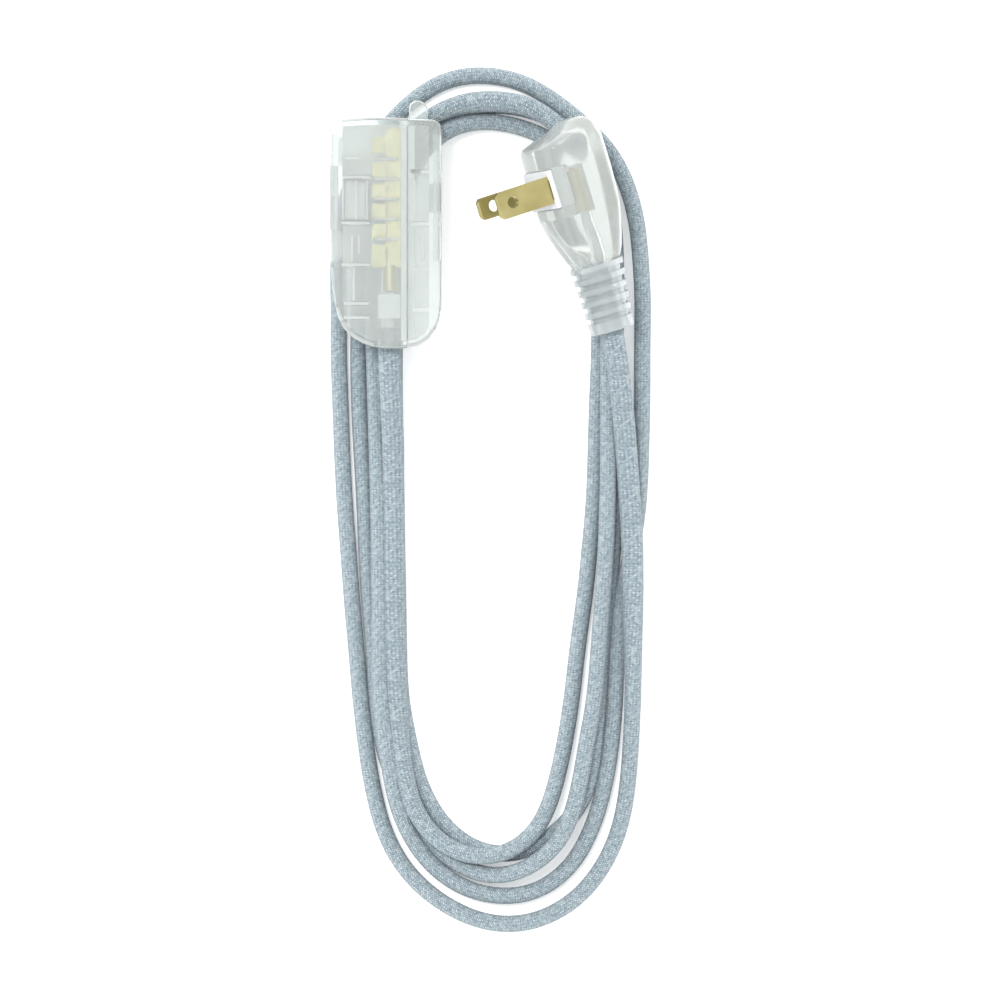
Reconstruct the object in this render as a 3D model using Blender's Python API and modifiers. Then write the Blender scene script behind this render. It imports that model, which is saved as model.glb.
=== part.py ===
"""Coiled two-wire extension cord: clear receptacle block, clear flat plug and a hank of cord.

Lengths are metres. +Z is up, the hank lies flat on z = 0, and the origin is on that surface
straight below the middle of the receptacle block.
"""

import math

import bmesh
import bpy
import numpy as np
from mathutils import Matrix, Vector

MM = 0.001
GAP = 0.3 * MM

# Cord and hank.
CORD_DIAMETER = 6.0 * MM
HANK_HEIGHT = 2 * CORD_DIAMETER
HANK_EDGE = 2.6 * MM
HANK_STATIONS = 96
SIDE_STATIONS = 24

# Receptacle block. Its outline lies in XY and its depth runs along Z.
BLOCK_LEFT = -15.9 * MM
BLOCK_RIGHT = 15.9 * MM
BLOCK_TOP = 31.8 * MM
BLOCK_DEPTH = 23.0 * MM
BLOCK_FLOOR = HANK_HEIGHT + GAP
BLOCK_MIDDLE = BLOCK_FLOOR + BLOCK_DEPTH / 2
BLOCK_CEILING = BLOCK_FLOOR + BLOCK_DEPTH
BLOCK_EDGE = 1.2 * MM
SEAM = 6.2 * MM
WALL = 2.0 * MM
LIP_LENGTH = 1.8 * MM
LIP_THICKNESS = 0.9 * MM

# Sliding covers and the tracks they run in.
TRACK_DEPTH = 2.4 * MM
TRACK_HALF = 8.1 * MM
GROOVE_HALF = 8.9 * MM
GROOVE_DEPTH = 1.1 * MM
TRACK_FLOOR = 1.2 * MM
COVER_HEIGHT = 8.9 * MM
FACE_WALL = TRACK_DEPTH + TRACK_FLOOR

# Outlets: the middle of each pair of slots, along Y.
BLADE_SPACING = 12.7 * MM
LEFT_OUTLETS = (22.9 * MM, -3.7 * MM)
RIGHT_OUTLET = 9.6 * MM
SLOT_WIDTH = 2.0 * MM
HOT_BLADE_WIDTH = 6.35 * MM
NEUTRAL_BLADE_WIDTH = 7.9 * MM
TRACK_TOP = LEFT_OUTLETS[0] + COVER_HEIGHT / 2 + GAP
TRACK_BOTTOM = LEFT_OUTLETS[1] - COVER_HEIGHT / 2 - GAP
COVER_PARKED = COVER_HEIGHT / 2 + GAP / 2
LEFT_COVER_TRAVEL = LEFT_OUTLETS[0] - RIGHT_OUTLET - COVER_PARKED
RIGHT_COVER_TRAVEL = (TRACK_TOP - TRACK_BOTTOM - COVER_HEIGHT) / 2 - GAP

# Bus strips inside the block.
BUS_LEFT = -4.0 * MM
BUS_RIGHT = 4.3 * MM
BUS_TOP = 29.4 * MM
BUS_BOTTOM = -10.3 * MM
BUS_HALF = 1.35 * MM
BUS_OPENING = 1.5 * MM
CRIMP_LENGTH = 6.6 * MM
CRIMP_X = 1.2 * MM

# Wires.
WIRE_RADIUS = 1.35 * MM
STRAND_RADIUS = 0.85 * MM
CRIMP_BORE = STRAND_RADIUS + GAP
CRIMP_RADIUS = 2.0 * MM

# Plug, in its own frame: x out along the blades, y up the body, z to the rear blade.
PLUG_ORIGIN = Vector((44.06 * MM, 11.26 * MM, 31.2 * MM))
PLUG_OUT = Vector((-0.861, -0.291, 0.422))
PLUG_UP = Vector((-0.286, 0.957, 0.076))
BLADE_LENGTH = 17.5 * MM
BLADE_THICKNESS = 1.5 * MM
BLADE_HOLE_RADIUS = 1.7 * MM
BLADE_HOLE_FROM_TIP = 5.0 * MM
BRIDGE_DEPTH = 5.6 * MM
BRIDGE_HALF_HEIGHT = 5.6 * MM
BRIDGE_HALF_WIDTH = 8.2 * MM
PLUG_CRIMP_DEPTH = 8.3 * MM
RELIEF_TOP = -24.4 * MM
RELIEF_END = -44.0 * MM
RELIEF_RIBS = 6
RELIEF_TOP_RADIUS = 7.9 * MM
RELIEF_END_RADIUS = 6.4 * MM
RELIEF_GROOVE = 1.1 * MM
RELIEF_TOP_DEPTH = 10.4 * MM
RELIEF_END_DEPTH = 9.4 * MM


def start_empty():
    for old in list(bpy.data.objects):
        bpy.data.objects.remove(old, do_unlink=True)


def collection(name):
    made = bpy.data.collections.new(name)
    bpy.context.scene.collection.children.link(made)
    return made


def material(name, color, metallic, roughness, alpha=1.0):
    made = bpy.data.materials.new(name)
    made.use_nodes = True
    shader = made.node_tree.nodes["Principled BSDF"]
    shader.inputs["Base Color"].default_value = (*color, 1.0)
    shader.inputs["Metallic"].default_value = metallic
    shader.inputs["Roughness"].default_value = roughness
    shader.inputs["Alpha"].default_value = alpha
    made.diffuse_color = (*color, alpha)
    return made


def add_object(name, mesh, group, surface=None):
    made = bpy.data.objects.new(name, mesh)
    group.objects.link(made)
    if surface is not None:
        mesh.materials.append(surface)
    if group == CUTTERS:
        made.hide_render = True
        made.display_type = "WIRE"
    return made


def mesh_from(name, work):
    bmesh.ops.recalc_face_normals(work, faces=work.faces[:])
    mesh = bpy.data.meshes.new(name)
    work.to_mesh(mesh)
    work.free()
    return mesh


def add_box(work, low, high):
    middle = [(a + b) / 2 for a, b in zip(low, high)]
    size = [b - a for a, b in zip(low, high)]
    place = Matrix.Translation(middle) @ Matrix.Diagonal((*size, 1.0))
    bmesh.ops.create_cube(work, size=1.0, matrix=place)


def boxes(name, spans, group, surface=None):
    """One object made of plain boxes, each given as (low corner, high corner)."""
    work = bmesh.new()
    for low, high in spans:
        add_box(work, low, high)
    return add_object(name, mesh_from(name, work), group, surface)


def prism(name, outline, low, high, group, surface=None):
    """A flat outline in XY raised from z = low to z = high."""
    work = bmesh.new()
    bottom = work.faces.new([work.verts.new((x, y, low)) for x, y in outline])
    raised = bmesh.ops.extrude_face_region(work, geom=[bottom])
    top = [v for v in raised["geom"] if isinstance(v, bmesh.types.BMVert)]
    bmesh.ops.translate(work, vec=(0.0, 0.0, high - low), verts=top)
    return add_object(name, mesh_from(name, work), group, surface)


def rod(name, start, end, radius, group, surface=None, sides=24):
    """A round bar between two points."""
    run = Vector(end) - Vector(start)
    turn = run.to_track_quat("Z", "Y").to_matrix().to_4x4()
    place = Matrix.Translation((Vector(start) + Vector(end)) / 2) @ turn
    work = bmesh.new()
    bmesh.ops.create_cone(
        work,
        cap_ends=True,
        segments=sides,
        radius1=radius,
        radius2=radius,
        depth=run.length,
        matrix=place,
    )
    return add_object(name, mesh_from(name, work), group, surface)


def loft(name, rings, group, surface=None):
    """A closed skin over rings that all have the same number of points."""
    work = bmesh.new()
    rows = [[work.verts.new(p) for p in ring] for ring in rings]
    count = len(rows[0])
    for lower, upper in zip(rows, rows[1:]):
        for i in range(count):
            j = (i + 1) % count
            work.faces.new((lower[i], lower[j], upper[j], upper[i]))
    work.faces.new(rows[0])
    work.faces.new(rows[-1])
    return add_object(name, mesh_from(name, work), group, surface)


def smooth_path(points, count):
    """A smooth open path through the points, as evenly spaced positions."""
    p = [Vector(q) for q in points]
    p = [2 * p[0] - p[1], *p, 2 * p[-1] - p[-2]]
    dense = []
    for a, b, c, d in zip(p, p[1:], p[2:], p[3:]):
        for k in range(24):
            t = k / 24
            dense.append(
                0.5
                * (
                    2 * b
                    + (c - a) * t
                    + (2 * a - 5 * b + 4 * c - d) * t * t
                    + (3 * b - 3 * c + d - a) * t * t * t
                )
            )
    dense.append(p[-2])
    steps = [0.0]
    for q, r in zip(dense, dense[1:]):
        steps.append(steps[-1] + (r - q).length)
    xyz = np.array([tuple(q) for q in dense])
    at = np.linspace(0.0, steps[-1], count)
    return [Vector([np.interp(s, steps, xyz[:, k]) for k in range(3)]) for s in at]


def tube(name, path, radius, group, surface=None, resolution=3):
    """A round tube swept along the path, with flat ends."""
    curve = bpy.data.curves.new(name + "_path", "CURVE")
    curve.dimensions = "3D"
    curve.bevel_depth = radius
    curve.bevel_resolution = resolution
    curve.use_fill_caps = True
    spline = curve.splines.new("POLY")
    spline.points.add(len(path) - 1)
    for point, place in zip(spline.points, path):
        point.co = (*place, 1.0)
    sweep = bpy.data.objects.new(name + "_path", curve)
    bpy.context.scene.collection.objects.link(sweep)
    bpy.context.view_layer.update()
    mesh = bpy.data.meshes.new_from_object(sweep)
    bpy.data.objects.remove(sweep, do_unlink=True)
    work = bmesh.new()
    work.from_mesh(mesh)
    bmesh.ops.remove_doubles(work, verts=work.verts[:], dist=1e-6)
    mesh = mesh_from(name, work)
    return add_object(name, mesh, group, surface)


def combine(target, other, operation):
    step = target.modifiers.new(operation.title() + "_" + other.name, "BOOLEAN")
    step.operation = operation
    step.solver = "EXACT"
    step.use_self = True
    step.object = other


def round_edges(target, width, segments, angle):
    step = target.modifiers.new("Round_edges", "BEVEL")
    step.width = width
    step.segments = segments
    step.limit_method = "ANGLE"
    step.angle_limit = math.radians(angle)


def shade_smooth(target, angle=35.0):
    step = target.data
    step.polygons.foreach_set("use_smooth", [True] * len(step.polygons))
    work = bmesh.new()
    work.from_mesh(step)
    for edge in work.edges:
        if len(edge.link_faces) == 2 and edge.calc_face_angle() > math.radians(angle):
            edge.smooth = False
    work.to_mesh(step)
    work.free()


start_empty()
PARTS = collection("Extension_cord")
CUTTERS = collection("Cutters")

cord_fabric = material("Woven_cord_covering", (0.33, 0.42, 0.48), 0.0, 0.85)
clear_shell = material("Clear_shell_plastic", (0.72, 0.78, 0.76), 0.0, 0.2, 0.35)
clear_mould = material("Clear_moulded_vinyl", (0.66, 0.7, 0.69), 0.0, 0.3, 0.35)
white_plastic = material("White_insulator_plastic", (0.83, 0.83, 0.87), 0.0, 0.45)
cover_plastic = material("Pale_cover_plastic", (0.74, 0.78, 0.79), 0.0, 0.4)
blade_brass = material("Brass_strip", (0.66, 0.5, 0.16), 1.0, 0.3)
copper = material("Copper_strand", (0.75, 0.33, 0.18), 1.0, 0.4)


# ---- Hank of cord: one closed outer shape, a flat ring two cords deep ----

# Each side of the ring runs clockwise from the top, in millimetres, split into the stretches
# top to right, right to bottom, bottom to left and left to top, so that both edges keep step.
OUTER_EDGE = (
    ((27.4, 47.1), (41.1, 44.6), (49.7, 40.0), (55.4, 35.4), (61.1, 29.7), (66.9, 20.6),
     (70.3, 12.0), (72.9, 4.9), (74.6, -5.1), (75.4, -19.4), (75.4, -33.7), (75.0, -48.0),
     (74.1, -76.6)),
    ((74.1, -76.6), (73.2, -93.7), (73.0, -116.6), (72.7, -133.7), (72.0, -145.7),
     (70.9, -159.4), (68.9, -168.0), (66.3, -176.0), (62.0, -182.9), (56.9, -189.4),
     (49.7, -194.6), (41.1, -198.3), (34.0, -199.7)),
    ((34.0, -199.7), (26.9, -198.9), (19.7, -196.6), (12.6, -192.3), (5.4, -185.7),
     (-0.3, -177.1), (-4.6, -166.6), (-6.9, -156.6), (-8.3, -145.7), (-9.7, -133.7),
     (-10.9, -119.4), (-12.3, -105.1), (-14.3, -76.6)),
    ((-14.3, -76.6), (-15.1, -62.3), (-15.7, -48.0), (-16.0, -33.7), (-16.4, -19.4),
     (-16.4, -5.1), (-15.4, 4.9), (-12.9, 14.9), (-8.6, 24.9), (-3.1, 32.0), (2.6, 37.7),
     (8.3, 41.7), (15.4, 45.1), (27.4, 47.1)),
)
INNER_EDGE = (
    ((27.4, 29.3), (35.4, 28.3), (42.6, 26.0), (49.7, 22.0), (54.0, 16.3), (56.9, 7.7),
     (58.3, -2.3), (58.6, -19.4), (58.3, -33.7), (58.0, -48.0), (57.6, -62.3), (56.9, -76.6)),
    ((56.9, -76.6), (55.4, -93.7), (53.7, -108.0), (52.3, -119.4), (50.6, -133.7),
     (49.1, -145.7), (47.1, -155.1), (44.0, -163.1), (38.9, -170.9), (32.6, -175.4)),
    ((32.6, -175.4), (27.4, -175.1), (21.7, -172.6), (16.9, -168.0), (12.6, -161.4),
     (9.4, -152.3), (7.7, -143.7), (6.6, -133.7), (6.0, -119.4), (5.6, -105.1), (5.0, -76.6)),
    ((5.0, -76.6), (4.7, -62.3), (4.4, -48.0), (4.3, -33.7), (4.3, -19.4), (4.6, -5.1),
     (6.3, 6.3), (9.7, 14.9), (14.0, 21.1), (17.7, 26.3), (21.1, 28.9), (27.4, 29.3)),
)


def ring_edge(stretches):
    """Evenly spaced points around one edge of the ring, with the joins between stretches kept."""
    found = []
    for index, stretch in enumerate(stretches):
        before = stretches[index - 1][-2]
        after = stretches[(index + 1) % len(stretches)][1]
        full = [before, *stretch, after]
        path = smooth_path([(x * MM, y * MM, 0.0) for x, y in full], 1200)
        first = min(range(1200), key=lambda i: (path[i] - Vector((*full[1], 0)) * MM).length)
        last = min(range(1200), key=lambda i: (path[i] - Vector((*full[-2], 0)) * MM).length)
        kept = path[first:last]
        picks = np.linspace(0, len(kept) - 1, SIDE_STATIONS, endpoint=False)
        found += [kept[round(i)] for i in picks]
    return found


def ring_section(inner, outer):
    """The ring's cross-section from its inner point to its outer one, with rounded edges."""
    across = (outer - inner).normalized()
    profile = []
    corners = (
        (inner, across, HANK_EDGE, 180.0),
        (outer, -across, HANK_EDGE, 270.0),
        (outer, -across, HANK_HEIGHT - HANK_EDGE, 0.0),
        (inner, across, HANK_HEIGHT - HANK_EDGE, 90.0),
    )
    for corner, inward, height, start in corners:
        centre = corner + inward * HANK_EDGE
        for turn in (0.0, 45.0, 90.0):
            angle = math.radians(start + turn)
            offset = across * math.cos(angle) * HANK_EDGE
            level = height + math.sin(angle) * HANK_EDGE
            profile.append((centre.x + offset.x, centre.y + offset.y, level))
    return profile


work = bmesh.new()
sections = [
    [work.verts.new(p) for p in ring_section(inner, outer)]
    for inner, outer in zip(ring_edge(INNER_EDGE), ring_edge(OUTER_EDGE))
]
for index, section in enumerate(sections):
    following = sections[(index + 1) % len(sections)]
    for i in range(len(section)):
        j = (i + 1) % len(section)
        work.faces.new((section[i], section[j], following[j], following[i]))
hank = add_object("cord_hank", mesh_from("cord_hank", work), PARTS, cord_fabric)
shade_smooth(hank, 50.0)


# ---- Receptacle block: two clear shells meeting at a seam near the right side ----

OUTLINE = [
    (BLOCK_LEFT, BLOCK_TOP - 2.4 * MM),
    (BLOCK_LEFT + 0.35 * MM, BLOCK_TOP - 1.2 * MM),
    (BLOCK_LEFT + 1.2 * MM, BLOCK_TOP - 0.4 * MM),
    (BLOCK_LEFT + 2.6 * MM, BLOCK_TOP),
    (-6.0 * MM, BLOCK_TOP + 0.5 * MM),
    (2.0 * MM, BLOCK_TOP + 0.6 * MM),
    (BLOCK_RIGHT - 2.6 * MM, BLOCK_TOP),
    (BLOCK_RIGHT - 1.2 * MM, BLOCK_TOP - 0.5 * MM),
    (BLOCK_RIGHT - 0.35 * MM, BLOCK_TOP - 1.3 * MM),
    (BLOCK_RIGHT, BLOCK_TOP - 2.6 * MM),
    (BLOCK_RIGHT, -21.0 * MM),
    (15.3 * MM, -25.0 * MM),
    (14.2 * MM, -28.0 * MM),
    (12.3 * MM, -30.7 * MM),
    (9.4 * MM, -32.6 * MM),
    (5.1 * MM, -33.4 * MM),
    (0.0, -33.4 * MM),
    (-3.4 * MM, -33.0 * MM),
    (-6.6 * MM, -31.9 * MM),
    (-9.5 * MM, -30.2 * MM),
    (-12.0 * MM, -27.6 * MM),
    (-13.7 * MM, -24.2 * MM),
    (-14.7 * MM, -19.4 * MM),
    (-15.4 * MM, -14.0 * MM),
    (BLOCK_LEFT, -9.2 * MM),
]


def inset(outline, depth, low_x, high_x):
    """The outline moved inward by depth and held between two X limits."""
    count = len(outline)
    moved = []
    for i in range(count):
        before = Vector(outline[i - 1])
        here = Vector(outline[i])
        after = Vector(outline[(i + 1) % count])
        first = (here - before).normalized()
        second = (after - here).normalized()
        inward = Vector((first.y + second.y, -first.x - second.x)).normalized()
        reach = depth / max(0.5, inward.dot(Vector((first.y, -first.x))))
        place = here + inward * reach
        moved.append((min(max(place.x, low_x), high_x), place.y))
    return moved


def slab(low, high):
    """A span across the whole block between two X values."""
    return ((low, -60 * MM, 0.0), (high, 60 * MM, 60 * MM))


def track_cuts(face, inward, outlets):
    """The cover track, its side grooves and the blade slots of one outlet face."""
    floor = face + inward * TRACK_DEPTH
    shoulder = floor - inward * GROOVE_DEPTH
    spans = [
        ((face - inward * MM, -TRACK_HALF), (floor, TRACK_HALF), TRACK_BOTTOM, TRACK_TOP),
        ((shoulder, -GROOVE_HALF), (floor, GROOVE_HALF), TRACK_BOTTOM, TRACK_TOP),
    ]
    for outlet in outlets:
        for side, width in ((-1, NEUTRAL_BLADE_WIDTH), (1, HOT_BLADE_WIDTH)):
            middle = side * BLADE_SPACING / 2
            reach = width / 2 + GAP / 2
            spans.append(
                (
                    (floor - inward * 0.5 * MM, middle - SLOT_WIDTH / 2),
                    (floor + inward * (TRACK_FLOOR + MM), middle + SLOT_WIDTH / 2),
                    outlet - reach,
                    outlet + reach,
                )
            )
    found = []
    for (x0, z0), (x1, z1), y0, y1 in spans:
        low = (min(x0, x1), y0, BLOCK_MIDDLE + z0)
        high = (max(x0, x1), y1, BLOCK_MIDDLE + z1)
        found.append((low, high))
    return found


INSIDE_LEFT = BLOCK_LEFT + FACE_WALL
INSIDE_RIGHT = BLOCK_RIGHT - FACE_WALL
SQUARE_OUTLINE = [
    (BLOCK_LEFT, BLOCK_TOP),
    *OUTLINE[4:6],
    (BLOCK_RIGHT, BLOCK_TOP),
    *OUTLINE[10:],
]
CAVITY = inset(SQUARE_OUTLINE, WALL, INSIDE_LEFT, INSIDE_RIGHT)

left_shell = prism(
    "receptacle_left_shell", OUTLINE, BLOCK_FLOOR, BLOCK_CEILING, PARTS, clear_shell
)
right_shell = prism(
    "receptacle_right_shell", OUTLINE, BLOCK_FLOOR, BLOCK_CEILING, PARTS, clear_shell
)
cavity = prism(
    "Block_cavity", CAVITY, BLOCK_FLOOR + WALL, BLOCK_CEILING - WALL, CUTTERS
)
past_seam = boxes("Right_of_seam", [slab(SEAM - GAP / 2, 60 * MM)], CUTTERS)
before_seam = boxes("Left_of_seam", [slab(-60 * MM, SEAM + GAP / 2)], CUTTERS)

# Ribs of the left shell: cell walls that stop short of the bus strips, a wall that keeps the two
# strips apart, and low ribs on the front and back walls that hold the strips flat.
cell_z = (BLOCK_FLOOR + WALL / 2, BLOCK_CEILING - WALL / 2)
left_ribs = [
    ((INSIDE_LEFT - MM, y - 0.6 * MM, cell_z[0]), (BUS_LEFT - GAP, y + 0.6 * MM, cell_z[1]))
    for y in (15.4 * MM, 2.3 * MM, -9.6 * MM)
]
left_ribs += [
    ((-12.6 * MM, -21.2 * MM, cell_z[0]), (-4.4 * MM, -20.0 * MM, cell_z[1])),
    ((-11.2 * MM, -25.2 * MM, cell_z[0]), (-4.4 * MM, -24.0 * MM, cell_z[1])),
    (
        (INSIDE_LEFT - MM, -9.6 * MM, BLOCK_MIDDLE - 0.6 * MM),
        (BUS_RIGHT, BUS_TOP + 2.2 * MM, BLOCK_MIDDLE + 0.6 * MM),
    ),
]
bus_far = BLADE_SPACING / 2 + BUS_HALF + GAP
for y in (20.6 * MM, 14.9 * MM, 9.1 * MM, 3.4 * MM, -2.3 * MM):
    for side in (-1, 1):
        levels = sorted((side * bus_far, side * (BLOCK_DEPTH / 2 - WALL / 2)))
        left_ribs.append(
            (
                (BUS_LEFT + 0.8 * MM, y - 0.4 * MM, BLOCK_MIDDLE + levels[0]),
                (BUS_RIGHT - 0.8 * MM, y + 0.4 * MM, BLOCK_MIDDLE + levels[1]),
            )
        )
left_rib_bars = boxes("Left_ribs", left_ribs, CUTTERS)

cord_hole = rod(
    "Cord_hole",
    (1.0 * MM, -36 * MM, BLOCK_MIDDLE),
    (1.0 * MM, -29 * MM, BLOCK_MIDDLE),
    CORD_DIAMETER / 2 + GAP,
    CUTTERS,
)
left_cuts = boxes(
    "Left_track_and_slots", track_cuts(BLOCK_LEFT, 1, LEFT_OUTLETS), CUTTERS
)

round_edges(left_shell, BLOCK_EDGE, 3, 60)
combine(left_shell, past_seam, "DIFFERENCE")
combine(left_shell, cavity, "DIFFERENCE")
combine(left_shell, left_rib_bars, "UNION")
combine(left_shell, left_cuts, "DIFFERENCE")
combine(left_shell, cord_hole, "DIFFERENCE")

# The right shell has a lip that reaches inside the left one, ribs that hold the strips from the
# right, and a small upright tab on its top edge.
lip_outer = prism(
    "Lip_outer",
    inset(SQUARE_OUTLINE, WALL + GAP, INSIDE_LEFT, INSIDE_RIGHT),
    BLOCK_FLOOR + WALL + GAP,
    BLOCK_CEILING - WALL - GAP,
    CUTTERS,
)
lip_inner = prism(
    "Lip_inner",
    inset(SQUARE_OUTLINE, WALL + GAP + LIP_THICKNESS, INSIDE_LEFT, INSIDE_RIGHT),
    BLOCK_FLOOR + WALL + GAP + LIP_THICKNESS,
    BLOCK_CEILING - WALL - GAP - LIP_THICKNESS,
    CUTTERS,
)
lip_range = boxes(
    "Lip_range",
    [((SEAM - LIP_LENGTH, -60 * MM, 0.0), (SEAM + 2 * MM, 60 * MM, 60 * MM))],
    CUTTERS,
)
lip_cord_gap = boxes(
    "Lip_cord_gap",
    [((-4 * MM, -40 * MM, 16 * MM), (SEAM - 0.4 * MM, -20 * MM, 32 * MM))],
    CUTTERS,
)
combine(lip_outer, lip_range, "INTERSECT")
combine(lip_outer, lip_inner, "DIFFERENCE")
combine(lip_outer, lip_cord_gap, "DIFFERENCE")

right_cell = (BLOCK_FLOOR + WALL / 2, BLOCK_CEILING - WALL / 2)
right_ribs = [
    (
        (SEAM + 1.0 * MM, y - 0.6 * MM, right_cell[0]),
        (INSIDE_RIGHT + MM, y + 0.6 * MM, right_cell[1]),
    )
    for y in (17.0 * MM, 2.2 * MM)
]
right_ribs += [
    (
        (BUS_RIGHT + GAP, y - 0.6 * MM, BLOCK_MIDDLE - 7.4 * MM),
        (SEAM + 1.0 * MM + 0.5 * MM, y + 0.6 * MM, BLOCK_MIDDLE + 7.4 * MM),
    )
    for y in (17.0 * MM, 2.2 * MM)
]
right_ribs.append(
    ((7.7 * MM, -22.9 * MM, right_cell[0]), (13.6 * MM, -21.7 * MM, right_cell[1]))
)
right_rib_bars = boxes("Right_ribs", right_ribs, CUTTERS)

TAB = [
    (6.6 * MM, 31.0 * MM),
    (6.6 * MM, 35.2 * MM),
    (7.0 * MM, 36.5 * MM),
    (8.1 * MM, 37.3 * MM),
    (9.6 * MM, 37.4 * MM),
    (11.0 * MM, 36.7 * MM),
    (11.9 * MM, 35.3 * MM),
    (12.1 * MM, 31.0 * MM),
]
tab = prism("Tab", TAB, BLOCK_MIDDLE - 4.0 * MM, BLOCK_MIDDLE + 4.0 * MM, CUTTERS)
round_edges(tab, 0.5 * MM, 2, 50)
right_cuts = boxes(
    "Right_track_and_slots", track_cuts(BLOCK_RIGHT, -1, (RIGHT_OUTLET,)), CUTTERS
)

round_edges(right_shell, BLOCK_EDGE, 3, 60)
combine(right_shell, before_seam, "DIFFERENCE")
combine(right_shell, tab, "UNION")
combine(right_shell, cavity, "DIFFERENCE")
combine(right_shell, lip_outer, "UNION")
combine(right_shell, right_rib_bars, "UNION")
combine(right_shell, right_cuts, "DIFFERENCE")


# ---- Sliding covers: flanged plates that run in the tracks ----


def cover(name, face, inward, height, slide):
    """A cover with its origin on its own middle, at the given height along the track.

    slide is how far it can run from there along Y, down and up.
    """
    floor = face + inward * TRACK_DEPTH
    under = floor - inward * GAP / 2
    step = floor - inward * (GROOVE_DEPTH - GAP / 2)
    top = face + inward * GAP
    middle = Vector(((under + top) / 2, height, BLOCK_MIDDLE))
    half = COVER_HEIGHT / 2
    flange = GROOVE_HALF - GAP / 2
    plate = TRACK_HALF - GAP / 2
    profile = [(under, -flange), (under, flange), (step, flange), (step, plate)]
    profile += [(top, plate), (top, -plate), (step, -plate), (step, -flange)]
    work = bmesh.new()
    rows = []
    for y in (-half, half):
        rows.append([work.verts.new((x - middle.x, y, z)) for x, z in profile])
    for i in range(len(profile)):
        j = (i + 1) % len(profile)
        work.faces.new((rows[0][i], rows[0][j], rows[1][j], rows[1][i]))
    work.faces.new(rows[0])
    work.faces.new(rows[1])
    made = add_object(name, mesh_from(name, work), PARTS, cover_plastic)
    grips = []
    for y in (-2.2 * MM, 0.0, 2.2 * MM):
        deep = sorted((top - middle.x - inward * MM, top - middle.x + inward * 0.5 * MM))
        grips.append(((deep[0], y - 0.45 * MM, -5 * MM), (deep[1], y + 0.45 * MM, 5 * MM)))
    grooves = boxes(name + "_grip_grooves", grips, CUTTERS)
    made["slide_range_y"] = slide
    made.location = middle
    grooves.location = middle
    combine(made, grooves, "DIFFERENCE")
    return made


left_run = LEFT_COVER_TRAVEL
right_run = RIGHT_COVER_TRAVEL
cover("left_upper_cover", BLOCK_LEFT, 1, RIGHT_OUTLET + COVER_PARKED, (0.0, left_run))
cover("left_lower_cover", BLOCK_LEFT, 1, RIGHT_OUTLET - COVER_PARKED, (-left_run, 0.0))
cover("right_cover", BLOCK_RIGHT, -1, RIGHT_OUTLET, (-right_run, right_run))


# ---- Bus strips, their wires and the bare copper ends ----

JACKET_END = -27.5 * MM


def bus(name, side):
    """A folded strip with an opening for each blade and a crimp barrel for its wire."""
    level = BLOCK_MIDDLE + side * BLADE_SPACING / 2
    made = boxes(
        name,
        [((BUS_LEFT, BUS_BOTTOM, level - BUS_HALF), (BUS_RIGHT, BUS_TOP, level + BUS_HALF))],
        PARTS,
        blade_brass,
    )
    openings = []
    for outlet in (*LEFT_OUTLETS, RIGHT_OUTLET):
        reach = NEUTRAL_BLADE_WIDTH / 2 + 0.6 * MM
        low = (BUS_LEFT - MM, outlet - reach, level - BUS_OPENING / 2)
        high = (BUS_RIGHT + MM, outlet + reach, level + BUS_OPENING / 2)
        openings.append((low, high))
    combine(made, boxes(name + "_openings", openings, CUTTERS), "DIFFERENCE")
    crimp = rod(
        name + "_crimp",
        (CRIMP_X, BUS_BOTTOM - CRIMP_LENGTH, level),
        (CRIMP_X, BUS_BOTTOM + 0.8 * MM, level),
        CRIMP_RADIUS,
        CUTTERS,
    )
    bore = rod(
        name + "_bore",
        (CRIMP_X, BUS_BOTTOM - CRIMP_LENGTH - MM, level),
        (CRIMP_X, BUS_BOTTOM - GAP, level),
        CRIMP_BORE,
        CUTTERS,
    )
    combine(made, crimp, "UNION")
    combine(made, bore, "DIFFERENCE")
    return made


def receptacle_wire(name, side):
    level = BLOCK_MIDDLE + side * BLADE_SPACING / 2
    end = BUS_BOTTOM - CRIMP_LENGTH - GAP
    path = smooth_path(
        [
            (1.0 * MM, JACKET_END + GAP, BLOCK_MIDDLE + side * 1.55 * MM),
            (1.0 * MM, JACKET_END + 1.6 * MM, BLOCK_MIDDLE + side * 1.9 * MM),
            (1.1 * MM, end - 5.2 * MM, BLOCK_MIDDLE + side * 3.9 * MM),
            (CRIMP_X, end - 2.0 * MM, level - side * 0.5 * MM),
            (CRIMP_X, end, level),
        ],
        14,
    )
    wire = tube(name + "_wire", path, WIRE_RADIUS, PARTS, white_plastic, 2)
    shade_smooth(wire)
    strands = rod(
        name + "_strands",
        (CRIMP_X, end + GAP, level),
        (CRIMP_X, BUS_BOTTOM - 2 * GAP, level),
        STRAND_RADIUS,
        PARTS,
        copper,
        16,
    )
    shade_smooth(strands)


bus("hot_bus", 1)
bus("neutral_bus", -1)
receptacle_wire("receptacle_hot", 1)
receptacle_wire("receptacle_neutral", -1)


# ---- Plug: moulded body with a ribbed relief, insulating bridge, two blades and their wires ----

PLUG_REAR = PLUG_OUT.cross(PLUG_UP).normalized()
PLUG_FRAME = Matrix(
    (
        (PLUG_OUT.x, PLUG_UP.x, PLUG_REAR.x, PLUG_ORIGIN.x),
        (PLUG_OUT.y, PLUG_UP.y, PLUG_REAR.y, PLUG_ORIGIN.y),
        (PLUG_OUT.z, PLUG_UP.z, PLUG_REAR.z, PLUG_ORIGIN.z),
        (0.0, 0.0, 0.0, 1.0),
    )
)
PLUG_TURN = PLUG_FRAME.to_3x3().to_quaternion().to_matrix().to_4x4()
PLUG_PLACE = Matrix.Translation(PLUG_ORIGIN) @ PLUG_TURN


def place_on_plug(*things):
    for thing in things:
        thing.matrix_world = PLUG_PLACE


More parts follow.
